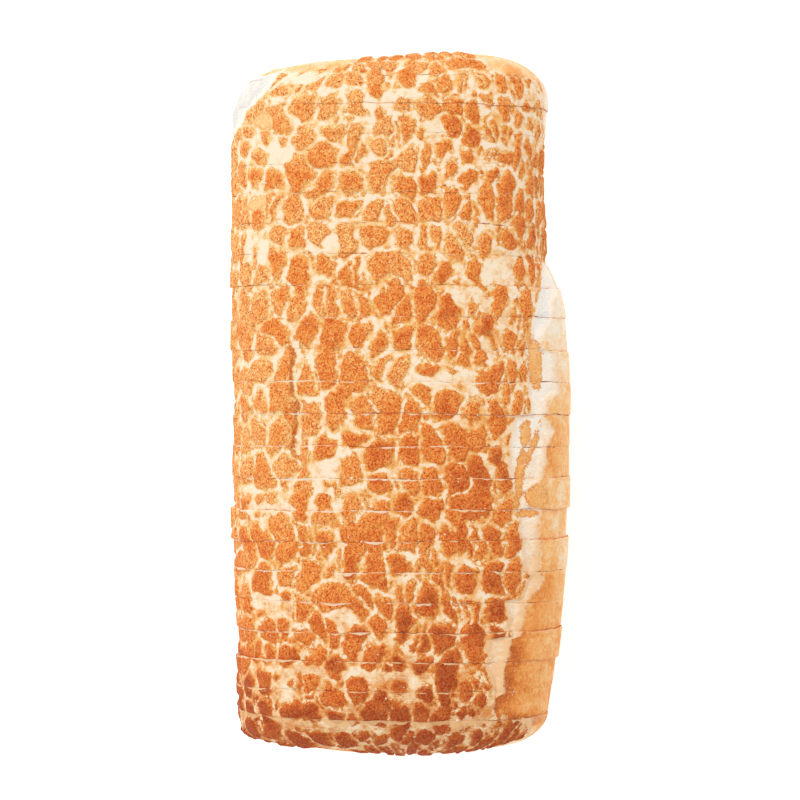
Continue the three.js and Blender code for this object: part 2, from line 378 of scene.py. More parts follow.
# The loaf burst along its right side. Both lines are points (y, x), from the far end to the near end:
# the plates reach the first, and the smooth crust that the tin made starts at the second.
tear = {
    "plateEnd": [
        (125, 49.5), (100, 50.5), (90, 54), (75, 70), (61, 75), (55, 54), (50, 51.5), (45.5, 50), (37, 48.5),
        (28, 47), (19, 45.2), (-2.8, 45.2), (-3.5, 40.2), (-14, 38.8), (-25, 38.8), (-36, 42.3), (-48, 43.7),
        (-58.6, 43.4), (-59.7, 46.5), (-68, 43), (-69.2, 37.8), (-81.5, 38.7), (-82.2, 30), (-91, 30.2),
        (-101, 33.8), (-104.5, 35), (-110, 43), (-112, 46), (-125, 44),
    ],
    "tinStart": [
        (125, 90), (70, 90), (50, 70), (42, 58.6), (37, 56.2), (30, 55), (24.4, 52), (19.4, 52), (18.4, 56),
        (5, 57), (1.4, 53), (-4, 52.3), (-9, 55), (-15, 52.5), (-25, 51.8), (-29, 47), (-35.7, 47),
        (-37.4, 50.7), (-47, 50.5), (-58.6, 49.3), (-60.7, 51.3), (-68, 46.8), (-70, 45), (-81.5, 43),
        (-82.6, 38.2), (-91, 37.8), (-101, 37.4), (-103, 34), (-108, 34), (-111, 47), (-125, 46),
    ],
    "depth": 1.1,
    "above": 3,  # it ends this far above the shoulder
    "cornerX": -56.5,  # a point on the bare far left corner's edge
    "cornerY": 100,
    "cornerSlope": 1.28,
    "cornerDown": 60,
    "cornerFrom": 80,  # y
    "cornerRound": 16,  # radius of its end
    "cornerTurn": 52,  # degrees it goes round the end
}


def bordersOf(arc, path, x, y, z, turn, ragged):
    # distances in from where the plates end, and from where the tin's crust starts
    wander = waver(arc, path, "tear")
    toTear = lineAt(y, tear["plateEnd"]) - x + wander
    toTin = x - lineAt(y, tear["tinStart"]) - wander
    toCorner = (tear["cornerSlope"] * (x - tear["cornerX"]) - (y - tear["cornerY"])) / 1.6 + 0.6 * ragged
    toSide = z - np.where(x < 0, plates["downLeft"], plates["downRight"]) + 2 * ragged
    endTurn = np.where(y > 0, np.interp(x, *plates["roundFar"]), np.interp(x, *plates["roundNear"]))
    toEnd = (np.radians(endTurn) - turn) * endValue(y, "crown") + ragged
    return toTear, toTin, toCorner, toSide, toEnd


def tornField(arc, path, y, z, turn, ragged, toTear, toTin, toCorner):
    # distance in from the edge of the bare crumb: the burst side and the far left corner
    frayed = 2.2 * ragged + 0.8 * drift(arc, path, 2.5, 20)
    burst = np.minimum.reduce([-toTear, -toTin, z - loaf["shoulder"] - tear["above"] + frayed])
    cornerEnd = tear["cornerRound"] * (np.radians(tear["cornerTurn"]) - turn) + frayed
    corner = np.minimum.reduce([-toCorner, z - tear["cornerDown"] + frayed, cornerEnd])
    return np.maximum(burst, np.where(y > tear["cornerFrom"], corner, nowhere)), corner


# How brown the crust is, from 0 to 1: browner to the right and towards the near end. Over the paste and the
# skin that gradient is partly real browning and partly painted shade and light, the left and the far end
# paler as if lit more.
browningAndShading = {
    "middle": 0.31,
    "right": 0.0042,
    "far": 0.0016,
    "nearEnd": 0.5,
    "nearSpan": (-60, -125),  # y
    "clouds": (0.12, 24, 15),  # strength, size and seed
    "tin": (  # y, and how brown the tin's crust is there
        [-125, -85, -56, -30, -10, 8, 25, 37, 90, 112, 125],
        [0.7, 0.68, 0.37, 0.42, 0.45, 0.3, 0.2, 0.06, 0.2, 0.3, 0.32],
    ),
    "torn": ([-100, -70, -45, 8, 28, 60, 100], [0.97, 0.78, 0.55, 0.45, 0.3, 0.3, 0.52]),
    "wall": 0.5,  # added below the shoulder
    "wallSpan": (76, 50),  # z
    "ends": 0.92,
    "paleCorner": 0.45,  # taken off at the near end's right corner, within these spans of x, y and z
    "paleSpans": [(30, 40), (-113, -119), (78, 92)],
}


def browningAndShadingField(arc, path, x, y, z, torn, tin):
    # how brown each point is: the paste and the skin first, whose gradient is partly painted shade and
    # light, then the tin's crust and the bare crumb
    strength, size, seed = browningAndShading["clouds"]
    nearShare = smoothStep(*browningAndShading["nearSpan"], y)
    # painted shade and light, partly real browning: darker to the right and towards the near end, paler
    # towards the far end
    baked = browningAndShading["middle"] + browningAndShading["right"] * x * (1 - nearShare) - browningAndShading["far"] * y
    baked = baked + browningAndShading["nearEnd"] * nearShare + strength * drift(arc, path, size, seed)
    tinBaked = np.interp(y, *browningAndShading["tin"]) + browningAndShading["wall"] * smoothStep(*browningAndShading["wallSpan"], z)
    pale = browningAndShading["paleCorner"]
    for span, place in zip(browningAndShading["paleSpans"], (x, y, z)):
        pale = pale * smoothStep(*span, place)
    baked = lerp(baked, tinBaked - pale, smoothStep(-1, 0.5, tin))
    tornBaked = np.where(x < 0, 0, np.interp(y, *browningAndShading["torn"]))
    return lerp(baked, tornBaked, smoothStep(-0.5, 0.5, torn))


# How high the loaf's lumps stand.
lumps = {"top": 1.1, "side": 0.5, "corner": 1.5}

# A hollow along the loaf, left of its middle.
trough = {"x": -36, "depth": 1, "width": 3, "reach": 25, "fade": 8}


def formLift(arc, path, x, y, z, torn, corner):
    # the loaf's slow waves, the same as in the part's source, less the burst side's hollow and the trough
    up = np.sin(np.arctan2(z - loaf["shoulder"], x))
    slow = 0.6 * np.sin(arc / 13 + 1.3 * np.sin(path / 31)) * np.sin(path / 23 + 0.7)
    slow = slow + 0.4 * np.sin(arc / 29 - path / 47 + 2)
    swell = lerp(lumps["side"], lumps["top"], np.maximum(0, up)) * slow * smoothStep(-0.6, -0.2, up)
    swell = swell + lumps["corner"] * smoothStep(-4, 5, corner) * smoothStep(94, 112, y)
    burst = (x > 0) * smoothStep(-110, -104, y) * smoothStep(100, 90, y)
    shred = tear["depth"] * smoothStep(0, 3, torn) * burst
    reach, fade = trough["reach"], trough["fade"]
    inTrough = (z > loaf["shoulder"]) * smoothStep(reach + fade, reach - fade, np.abs(y))
    dip = trough["depth"] * inTrough * hollow(x - trough["x"], trough["width"])
    return swell - shred - dip, up < -0.6


# Places where the paste slid off and the skin shows: x, y, half their size, and their turn in degrees.
bare = [
    (34, 47.5, 8.5, 3.2, 38),
    (24, 37.4, 5, 3.2, -8),
    (-18, -75, 4.6, 5.6, 20),
    (-12, -94.5, 20, 0.8, -2),
    (-25, 55, 6, 2.8, 10),
    (-25, -23, 5, 3.6, -30),
    (-51, 54, 4, 5.2, 0),
    (-45, -71, 7.5, 3, -12),
    (12, 96, 4, 3.4, 0),
    (-6, 106, 7, 2.6, 8),
    (31, 21, 2.6, 6, -10),
    (14, 9, 9, 1.8, 5),
    (-30, -112.4, 15, 1.8, -7),
    (22, -111.6, 13, 1.3, 4),
    (-35, 116.5, 8, 2.2, 6),
    (-43, -36.2, 13, 1, 0),
]

# Thin smooth pieces of paste, most of them bridging the tear: x, y, half their size, and their turn.
strips = [
    (-48.3, 100, 4, 3.2, -12),
    (-51, 70, 3.6, 2.4, 20),
    (49, 14, 2.9, 9.6, 3),
    (46.6, 24, 0.7, 9, -4),
    (49.8, 41, 0.8, 6, -14),
    (45.4, -10, 2, 4.6, -4),
    (48.2, -14, 1.3, 7.6, -19),
    (43.3, -25.5, 1.7, 10.5, -9),
    (48.8, -32.5, 3.8, 3.8, 0),
    (46.4, -38.6, 3.4, 1.1, 0),
]


def crustField(arc, path, x, y, z, turn):
    # everything that the crust shows at each point, and how far it stands up there
    ragged = waver(arc, path, "ragged")
    depth, tone, tilt = plateField(arc, path)
    for shape in bare:
        depth = depth - noPaste * smoothStep(-1.6, 1.6, oval(x, y, shape) + 0.5 * ragged)
    depth, burnt = seamField(depth, arc, path, x, y, z, ragged)

    toTear, toTin, toCorner, toSide, toEnd = bordersOf(arc, path, x, y, z, turn, ragged)
    zone = np.minimum.reduce([toTear, toCorner, toSide, toEnd])
    depth = np.minimum(depth, zone)
    strip = np.maximum.reduce([oval(x, y, shape) for shape in strips]) + 0.3 * ragged
    depth = depth - noPaste * smoothStep(-1, 1, strip) * (x < 0)
    strip = np.where(z > loaf["shoulder"], strip, nowhere)
    filmy = strip > np.maximum(depth, -0.8)
    depth = np.maximum(depth, strip)

    torn, corner = tornField(arc, path, y, z, turn, ragged, toTear, toTin, toCorner)
    tin = np.where(torn > 0, -torn, np.maximum.reduce([toTin, -toSide, -toEnd]))
    tin = tin + 14 * smoothStep(80, 68, z) * smoothStep(0, 2, tin)  # no stain under the paste on the walls
    baked = browningAndShadingField(arc, path, x, y, z, torn, tin)

    form, onBase = formLift(arc, path, x, y, z, torn, corner)
    rise = plates["rise"] * smoothStep(0, plates["edge"], depth) * (1 - 0.4 * filmy)
    rise = rise * smoothStep(-1, 1, zone) * (1 + 0.3 * drift(arc, path, 5, 13))
    rise = rise + tilt * smoothStep(0, 0.8, depth)
    rough = 0.1 * drift(arc, path, 0.9, 14) * smoothStep(0, 0.5, depth)
    lift = np.where(onBase, 0, form + rise + rough) - plates["rise"] / 2
    layers = dict(depth=depth, tone=tone, filmy=filmy, torn=torn, tin=tin, baked=baked, burnt=burnt)
    return layers, lift


# The cuts, and how the slices stand.
slicing = {
    "slices": 23,
    "firstCut": 115.6,
    "lastCut": -110.8,
    "wander": 1.8,
    "skew": 0.6,
    "shift": 0.8,
    "sink": 0.006,
    "shiftSeed": 1721,
    "sinkSeed": 29,
    "skewSeed": 5,
    "gap": 0.006,  # between two slices; the solids keep 0.3
    "notch": 0.01,  # how far a cut's edge is rounded back, at least
    "ragged": 0.3,  # how far crumbs are torn out of a cut's edge
    "baredAndLit": 0.36,  # how wide the cream band beside a cut is in the near slices: crumb that the knife laid bare, and a painted highlight standing for the lit cut faces
    "drag": 0.16,  # how far the knife drew the edge down
    "dragWithin": 0.35,  # of the cut
    "lastBend": 2.2,  # how far the last cut strays on the left
    # the band beside the last cut, wider still, also crumb laid bare and a painted highlight of its lit cut
    # face
    "lastBaredAndLit": 1.7,
    "noiseRow": 9,  # how far apart the cuts lie in the noise that they waver with
    "middle": 0.8,  # height of an end face's middle, as a share of the shoulder's
    "tornFade": 6,  # how fast the tearing fades away from a slice's cuts, and from a heel's
    "heelTornFade": 20,
}


def cutPlane(k):
    share = k / (slicing["slices"] - 2)
    even = lerp(slicing["firstCut"], slicing["lastCut"], share)
    skew = slicing["skew"] * (2 * chance(k, slicing["skewSeed"]) - 1)
    return even + slicing["wander"] * math.sin(fullTurn * share), skew / loaf["rightReach"]


# How finely the meshes are made.
fineness = {
    "fine": 0.42,  # between points over the plates
    "coarse": 1.8,  # and elsewhere
    "fineFrom": -103,  # from the crown, over the surface
    "fineTo": 96,
    "rows": 26,  # across a slice's crust
    "heelRows": 84,
    "wallRows": 20,  # from a heel's rim to the middle of its end wall
    "cutRows": 5,  # from a cut's edge to the middle of the cut face
    "cutShares": [0, 0.012, 0.08, 0.25, 0.6, 1],  # how far in each of them lies
}


def columnArcs():
    # where the points round a section lie: close together over the plates, few elsewhere
    fineCount = round((fineness["fineTo"] - fineness["fineFrom"]) / fineness["fine"])
    leftCount = round((halfRound + fineness["fineFrom"]) / fineness["coarse"])
    rightCount = round((halfRound - fineness["fineTo"]) / fineness["coarse"])
    leftPart = np.linspace(-halfRound, fineness["fineFrom"], leftCount + 1)[:-1]
    finePart = np.linspace(fineness["fineFrom"], fineness["fineTo"], fineCount + 1)[:-1]
    return np.concatenate([leftPart, finePart, np.linspace(fineness["fineTo"], halfRound, rightCount + 1)])


arcs = columnArcs()


def sleeve(name, rows, sharpRows):
    # a closed skin with a pole in each end; its crust meets a cut face at each sharp row
    around = len(arcs) - 1
    bm = bmesh.new()
    bmesh.ops.create_grid(bm, x_segments=around, y_segments=rows, size=0.5)
    columnOf = bm.verts.layers.float.new("column")
    rowOf = bm.verts.layers.float.new("row")
    for vert in bm.verts:
        turn, share = vert.co.x + 0.5, vert.co.y + 0.5
        vert[columnOf] = round(turn * around)
        vert[rowOf] = round(share * rows)
        ring = math.sin(math.pi * share)
        across, up = math.cos(fullTurn * turn) * ring, -math.sin(fullTurn * turn) * ring
        vert.co = (across, -math.cos(math.pi * share), up)
    bmesh.ops.remove_doubles(bm, verts=bm.verts, dist=1e-7)
    bmesh.ops.recalc_face_normals(bm, faces=bm.faces)
    for face in bm.faces:
        face.smooth = True
    for edge in bm.edges:
        first, second = (vert[rowOf] for vert in edge.verts)
        edge.smooth = not (first == second and first in sharpRows)
    mesh = bpy.data.meshes.new(name)
    bm.to_mesh(mesh)
    bm.free()
    return mesh


def readLayer(mesh, name):
    values = np.empty(len(mesh.vertices), np.float32)
    mesh.attributes[name].data.foreach_get("value", values)
    return values.astype(float)


def writeLayer(mesh, name, values):
    layer = mesh.attributes.new(name, "FLOAT", "POINT")
    layer.data.foreach_set("value", values.astype(np.float32))


def stanceOf(k):
    return {
        "shift": slicing["shift"] * (2 * chance(k, slicing["shiftSeed"]) - 1),
        "height": 1 - slicing["sink"] * chance(k, slicing["sinkSeed"]),
    }


def crustPoints(angle, path, arc, stance, toCut):
    y, inset, turn = placeAlong(angle, path)
    plain = sectionRadius(angle, y) - inset
    plainX, plainZ = plain * np.cos(angle), loaf["shoulder"] + plain * np.sin(angle)
    layers, lift = crustField(arc, path, plainX, y, plainZ, turn)
    lift = lift - slicing["drag"] * np.exp(-toCut / slicing["dragWithin"])
    radius = plain + lift * np.cos(turn)
    x = radius * np.cos(angle) + stance["shift"]
    z = np.maximum(0, (loaf["shoulder"] + radius * np.sin(angle)) * stance["height"])
    return x, y + np.sign(y) * lift * np.sin(turn) * smoothStep(0, 4, toCut), z, layers


def cutWaver(arc, k, name, start=0):
    # the wavering along one cut; each cut has its own row in the noise
    return waver(arc, slicing["noiseRow"] * k, name, start)


def cutWander(arc, k):
    # how far a cut strays from its plane along the crust
    bend = slicing["lastBend"] * smoothStep(-20, -75, arc) * (k == slicing["slices"] - 2)
    return cutWaver(arc, k, "cut", bend)


def cutEdge(arc, k):
    # how far a cut's edge is torn back along the loaf
    return slicing["notch"] + slicing["ragged"] * np.maximum(0, cutWaver(arc, k, "cutTorn") - 0.2) ** 2


def toCutEdge(arc, k, toFar, toNear):
    # distance to the cream band beside a cut, crumb that the knife laid bare; it is wider in the near
    # slices, where it is also a painted highlight standing for the lit cut faces
    baredAndLitWidth = slicing["baredAndLit"] * smoothStep(8, 13, k)
    baredAndLitWidth = baredAndLitWidth + slicing["lastBaredAndLit"] * (k == slicing["slices"] - 1)
    farWide = (baredAndLitWidth + 0.25) * cutWaver(arc, k, "baredAndLitFar", 0.8) - 0.3
    nearWide = cutWaver(arc, k, "baredNear") - 0.25
    return np.minimum(toFar - farWide, toNear - nearWide)


def readSleeve(mesh):
    # each point's distance over the surface from the crown, its angle there, and its row
    arc = arcs[readLayer(mesh, "column").astype(int)]
    return arc, angleAt(arc), readLayer(mesh, "row")


def towardsMiddle(x, z, stance, share):
    # points of an end face, from its rim to its middle
    return lerp(x, stance["shift"], share), lerp(z, loaf["shoulder"] * slicing["middle"], share)


def cutShare(inward):
    return np.interp(inward, range(fineness["cutRows"] + 1), fineness["cutShares"])


def placeInner(mesh, k):
    arc, angle, row = readSleeve(mesh)
    stance = stanceOf(k)
    first, rows, fade = fineness["cutRows"], fineness["rows"], slicing["tornFade"]
    share = np.clip((row - first) / rows, 0, 1)  # 0 at the near cut, 1 at the far cut
    (nearY, nearSkew), (farY, farSkew) = cutPlane(k), cutPlane(k - 1)
    planeY, skew = lerp(nearY, farY, share), lerp(nearSkew, farSkew, share)
    thick = farY - nearY
    toCut = np.minimum(share, 1 - share) * thick
    x, _, z, layers = crustPoints(angle, pathAlong(angle, planeY), arc, stance, toCut)
    inward = np.maximum(first - row, row - first - rows)  # rows in from the cut's edge
    nearPull = np.where(inward > 0, slicing["gap"] / 2, cutEdge(arc, k))
    farPull = np.where(inward > 0, slicing["gap"] / 2, cutEdge(arc, k - 1))
    wander = lerp(cutWander(arc, k), cutWander(arc, k - 1), share)
    y = planeY + skew * x + wander + nearPull * (1 - share) ** fade - farPull * share**fade
    toMiddle = cutShare(inward)
    x, z = towardsMiddle(x, z, stance, toMiddle)
    layers["toCut"] = toCutEdge(arc, k, (1 - share) * thick, share * thick)
    layers["inside"] = toMiddle * loaf["shoulder"]
    finishMesh(mesh, x, y - wander * toMiddle, z, layers)


def placeHeel(mesh, k):
    arc, angle, row = readSleeve(mesh)
    stance = stanceOf(k)
    far = k == 0
    way = 1 if far else -1
    cut = 0 if far else slicing["slices"] - 2
    cutY, skew = cutPlane(cut)
    rows, wall = fineness["heelRows"], fineness["wallRows"]
    out = row - fineness["cutRows"] if far else rows + wall - row  # rows out from the cut's edge
    share = np.clip(out / rows, 0, 1)
    rounding = endRound(angle, way)
    last = way * (loaf["length"] / 2 - rounding + rounding * math.pi / 2)
    begin = pathAlong(angle, cutY)
    toCut = share * np.abs(last - begin)
    x, y, z, layers = crustPoints(angle, lerp(begin, last, share), arc, stance, toCut)
    y = y - way * share * endSetBack(way, x, z) + (1 - share) * skew * x
    inward = np.maximum(0, -out)
    pull = np.where(inward > 0, slicing["gap"] / 2, cutEdge(arc, cut))
    wander = cutWander(arc, cut) * (1 - share) ** 4
    y = y + way * pull * (1 - share) ** slicing["heelTornFade"] + wander
    toMiddle = cutShare(inward)
    x, z = towardsMiddle(x, z, stance, toMiddle)
    y = y - wander * toMiddle

    overWall = np.clip((out - rows) / wall, 0, 1)  # from the rim to the middle of the end wall
    x, z = towardsMiddle(x, z, stance, overWall)
    wallY = way * (loaf["length"] / 2 - endSetBack(way, x, z))
    y = np.where(overWall > 0, lerp(y, wallY, np.clip(overWall * 8, 0, 1)), y)
    down = overWall * loaf["shoulder"] * 0.6  # the same in millimetres, about
    layers["depth"] = layers["depth"] - 1.2 * down
    layers["torn"] = layers["torn"] - 1.2 * down
    layers["tin"] = np.maximum(layers["tin"], 4 * down - 2)
    layers["baked"] = lerp(layers["baked"], browningAndShading["ends"], smoothStep(0, 8, down))
    noCut = loaf["length"]
    layers["toCut"] = toCutEdge(arc, k, noCut if far else toCut, toCut if far else noCut)
    layers["inside"] = toMiddle * loaf["shoulder"]
    finishMesh(mesh, x, y, z, layers)


def finishMesh(mesh, x, y, z, layers):
    points = np.stack([x, y, z], axis=1) * mm
    mesh.vertices.foreach_set("co", points.astype(np.float32).ravel())
    for name, values in layers.items():
        writeLayer(mesh, name, values)
    for name in ("column", "row"):
        mesh.attributes.remove(mesh.attributes[name])
    mesh.update()


class Signal:
    # a socket in a shader, so that its maths reads as plain expressions
    def __init__(self, tree, socket=None):
        self.tree = tree
        self.socket = socket

    def node(self, kind, settings=None, sockets=None, out=0):
        made = self.tree.nodes.new(kind)
        for name, value in (settings or {}).items():
            if name == "stops":
                ramp = made.color_ramp
                while len(ramp.elements) < len(value):
                    ramp.elements.new(1)
                for stop, (place, colour) in zip(ramp.elements, value):
                    stop.position, stop.color = place, colour
            else:
                setattr(made, name, value)
        for name, value in (sockets or {}).items():
            if isinstance(value, Signal):
                self.tree.links.new(value.socket, made.inputs[name])
            else:
                made.inputs[name].default_value = value
        return Signal(self.tree, made.outputs[out])

    def maths(self, operation, a, b):
        return self.node("ShaderNodeMath", {"operation": operation}, {0: a, 1: b})

    def __add__(self, other):
        return self.maths("ADD", self, other)

    def __sub__(self, other):
        return self.maths("SUBTRACT", self, other)

    def __rsub__(self, other):
        return self.maths("SUBTRACT", other, self)

    def __mul__(self, other):
        return self.maths("MULTIPLY", self, other)

    __radd__ = __add__
    __rmul__ = __mul__

    def most(self, other):
        return self.maths("MAXIMUM", self, other)

    def between(self, low, high):
        # 0 below low, 1 above high and smooth between; high may be the lower one
        settings = {"interpolation_type": "SMOOTHSTEP"}
        if low < high:
            return self.node("ShaderNodeMapRange", settings, {0: self, 1: low, 2: high})
        return 1 - self.node("ShaderNodeMapRange", settings, {0: self, 1: high, 2: low})

    def mix(self, share, a, b, blend="MIX"):
        settings = {"data_type": "RGBA", "blend_type": blend}
        return self.node("ShaderNodeMix", settings, {0: share, 6: a, 7: b}, out=2)

    def ramp(self, stops):
        return self.node("ShaderNodeValToRGB", {"stops": stops}, {"Fac": self})

    def layer(self, name):
        return self.node("ShaderNodeAttribute", {"attribute_name": name}, out=2)

    def grain(self, where, size, detail=2, stretch=(1, 1, 1), roughness=0.5):
        # noise from 0 to 1 with lumps of about this size, in millimetres
        scale = tuple(s / size / mm for s in stretch)
        scaled = self.node("ShaderNodeVectorMath", {"operation": "MULTIPLY"}, {0: where, 1: scale})
        sockets = {"Vector": scaled, "Scale": 1.0, "Detail": detail, "Roughness": roughness}
        return self.node("ShaderNodeTexNoise", {}, sockets)

    def granules(self, where, size):
        # the distance to the middle of the nearest granule, and its own chance value
        middle = self.node("ShaderNodeTexVoronoi", {}, {"Vector": where, "Scale": 1 / size / mm})
        return middle, Signal(self.tree, middle.socket.node.outputs["Color"])


def paint(red, green, blue):
    # a colour as a screen shows it, 0 to 255, in the linear values that a shader takes
    parts = [c / 255 / 12.92 if c < 11 else ((c / 255 + 0.055) / 1.055) ** 2.4 for c in (red, green, blue)]
    return (*parts, 1)


def newMaterial(name):
    material = bpy.data.materials.new(name)
    material.use_nodes = True
    tree = material.node_tree
    tree.nodes.clear()
    shader = tree.nodes.new("ShaderNodeBsdfPrincipled")
    output = tree.nodes.new("ShaderNodeOutputMaterial")
    tree.links.new(shader.outputs[0], output.inputs["Surface"])
    return material, shader, Signal(tree)


def shades(*stops):
    # the stops of a ramp, each with its place from 0 to 1 and its colour
    return [(place, paint(*colour)) for place, *colour in stops]


# Colours from the palest crust to the brownest, and the sizes of what shows in it, in millimetres.
crustLook = {
    "plate": shades((0, 249, 171, 94), (0.3, 242, 142, 62), (0.62, 226, 117, 48), (1, 183, 83, 33)),
    "thin": shades((0, 252, 188, 110), (0.3, 248, 164, 78), (0.65, 236, 138, 58), (1, 204, 102, 42)),
    "film": shades((0, 255, 206, 140), (0.4, 254, 184, 104), (0.7, 248, 162, 80), (1, 226, 130, 62)),
    "skin": shades((0, 248, 228, 201), (0.4, 246, 207, 158), (0.75, 236, 183, 125), (1, 219, 147, 82)),
    "halo": shades((0, 254, 196, 116), (0.4, 251, 176, 88), (0.7, 242, 154, 68), (1, 208, 108, 40)),
    "torn": shades((0, 224, 219, 213), (0.28, 254, 246, 234), (0.5, 253, 234, 210), (1, 244, 198, 148)),
    "tin": shades(
        (0, 252, 238, 218), (0.16, 253, 222, 182), (0.34, 252, 198, 134), (0.52, 246, 170, 94),
        (0.68, 232, 142, 66), (0.8, 212, 117, 51), (1, 176, 86, 36),
    ),
    "pit": (0.67, 0.31, 0.19, 1),  # what the dark and the bright grains multiply their colour by
    "glint": (1.06, 1.75, 2.7, 1),
    # what the painted shade beside the seam's crack multiplies the plates' colour by
    "burnt": (0.55, 0.25, 0.14, 1),
    "crumb": paint(252, 236, 206),
    "pore": paint(228, 190, 142),
    "grain": 0.7,
    "granule": 0.44,
    "lump": 1.7,
    "blotch": 5,
    "cloud": 22,
    "fibre": 0.55,
    "pores": 1.6,
    "bump": 0.5,
    "roughness": 0.82,
    "specular": 0.25,
}


def crustSignals(make):
    # what the mesh holds at each point, and the noises; lumpy, blotch and grit go above and below 0
    names = ("depth", "tone", "filmy", "torn", "tin", "baked", "burnt", "toCut", "inside")
    see = SimpleNamespace(**{name: make.layer(name) for name in names})
    where = make.node("ShaderNodeTexCoord", out=3)
    see.grain = make.grain(where, crustLook["grain"], 3, roughness=0.7)
    see.dome, speck = make.granules(where, crustLook["granule"])
    see.lumpy = make.grain(where, crustLook["lump"]) - 0.5
    see.blotch = make.grain(where, crustLook["blotch"], 3) - 0.5
    see.fibre = make.grain(where, crustLook["fibre"], stretch=(0.1, 1, 1))
    see.pores = make.grain(where, crustLook["pores"], 3)
    see.grit = 0.5 * see.grain + 0.5 * speck - 0.5
    see.jagged = see.depth + 2.4 * see.lumpy + 1.7 * see.grit
    see.plate = see.jagged.between(-0.1, 0.12)
    see.baked = see.baked + 0.5 * (make.grain(where, crustLook["cloud"]) - 0.5)
    return see


def pasteColour(make, see):
    # brown where a plate is thick, paler at its edge, smooth where the paste ran, and gritty elsewhere
    baked, tone, filmy, jagged = see.baked, see.tone, see.filmy, see.jagged
    brown = baked + 0.36 * (tone - 0.5) + 0.9 * see.blotch + jagged.between(0.3, 2.2) * 0.16 - 0.07
    film = (baked - 0.16 + 0.5 * see.lumpy + 0.4 * see.blotch).ramp(crustLook["film"])
    thin = make.mix(filmy * jagged.between(0.1, 0.8), baked.ramp(crustLook["thin"]), film)
    thinWide = 0.3 + 0.5 * tone * tone + 1.5 * see.blotch
    core = (jagged - thinWide).between(-0.3, 0.35) * (1 - 0.9 * filmy)
    colour = make.mix(core, thin, brown.ramp(crustLook["plate"]))
    gritty = 1 - 0.7 * filmy
    colour = make.mix(see.grit.between(0.02, -0.2) * gritty, colour, crustLook["pit"], "MULTIPLY")
    return make.mix(see.grit.between(0.05, 0.17) * gritty, colour, crustLook["glint"], "MULTIPLY")


def breadColour(make, see):
    # the skin between the plates, the crust that the tin made, and the crumb where the loaf burst
    baked, tin, lumpy, blotch = see.baked, see.tin, see.lumpy, see.blotch
    skin = (baked - 0.12 + 2.8 * blotch + 1.5 * lumpy + see.grit).ramp(crustLook["skin"])
    skin = make.mix(see.fibre.between(0.42, 0.62) * 0.3, skin, crustLook["crumb"])
    halo = (see.jagged + 2.6 * blotch).between(-0.7, 0) * 0.6
    halo = halo.most(see.jagged.between(-0.4, 0) * 0.95)
    skin = make.mix(halo, skin, (baked - 0.1).ramp(crustLook["halo"]))

    stain = (tin + 18 * blotch).between(14, 0) * 1.05 * baked * baked - 0.05
    stain = stain + 0.9 * blotch + 0.5 * lumpy + 0.6 * see.grit
    tinColour = (0.8 * (baked + stain)).ramp(crustLook["tin"])
    colour = make.mix((tin + 1.5 * lumpy).between(-0.5, 0.9), skin, tinColour)

    stringy = see.fibre - 0.5
    tornBaked = baked + 0.9 * stringy + 0.7 * blotch + see.torn.between(2.5, 0) * 0.3
    return make.mix((see.torn + 1.5 * stringy).between(-0.3, 0.5), colour, tornBaked.ramp(crustLook["torn"]))


def cutColour(make, see, colour):
    # over that, the cream band beside a cut, crumb that the knife laid bare and in the near slices a painted
    # highlight of the lit cut faces, then a cut's brown edge, and the cut face
    baredAndLit = (see.toCut + 0.5 * see.grit + 0.5 * see.lumpy).between(0.06, -0.06)
    baredAndLit = baredAndLit * (0.85 - 0.6 * see.tin.between(0, 2))
    colour = make.mix(baredAndLit, colour, (see.baked - 0.3).ramp(crustLook["skin"]))
    colour = make.mix(see.inside.between(0, 0.3), colour, (see.baked + 0.4).ramp(crustLook["halo"]))
    crumb = make.mix(see.pores.between(0.5, 0.68), crustLook["crumb"], crustLook["pore"])
    return make.mix(see.inside.between(0.5, 1.5), colour, crumb)


def feedShader(make, shader, colour, height, bump, roughness):
    relief = make.node("ShaderNodeBump", {}, {"Strength": 1.0, "Distance": bump * mm, "Height": height})
    make.tree.links.new(colour.socket, shader.inputs["Base Color"])
    make.tree.links.new(relief.socket, shader.inputs["Normal"])
    shader.inputs["Roughness"].default_value = roughness


def crustMaterial():
    material, shader, make = newMaterial("tigerCrust")
    see = crustSignals(make)
    colour = make.mix(see.plate, breadColour(make, see), pasteColour(make, see))
    # painted shade on the plates beside the seam's crack
    colour = make.mix(see.burnt * see.plate * 0.7, colour, crustLook["burnt"], "MULTIPLY")
    colour = cutColour(make, see, colour)
    pasteHeight = see.jagged.between(-0.1, 0.9) * 0.16 + see.plate * (0.38 * see.grain - 0.32 * see.dome)
    skinHeight = (1 - see.plate) * (0.3 * see.fibre + 0.2 * see.lumpy + 0.1)
    feedShader(make, shader, colour, pasteHeight + skinHeight, crustLook["bump"], crustLook["roughness"])
    shader.inputs["Specular IOR Level"].default_value = crustLook["specular"]
    return material


def addPiece(name, mesh, node=None):
    piece = bpy.data.objects.new(name, mesh)
    bpy.context.scene.collection.objects.link(piece)
    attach(piece, "root")
    if node:
        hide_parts(node)


# White crumbs that the saw left on the crust.
crumbs = {
    "seed": 8,
    "odds": 0.0055,  # that a point of the mesh has one, beside a cut
    "near": 1.2,  # how far from a cut most of them lie
    "elsewhere": 0.15,  # share of the odds that holds everywhere
    "moreSpan": (110, -60),  # y, over which they grow more
    "lowest": 96,  # z and x, within which they lie
    "rightmost": 44,
    "size": (0.1, 0.42),  # millimetres from the middle
    "over": 0.3,  # share of its size that a crumb's middle lies over the crust
    "colour": paint(255, 246, 230),
    "deep": paint(246, 226, 194),
    "pores": 0.3,
    "bump": 0.1,
    "roughness": 0.9,
}


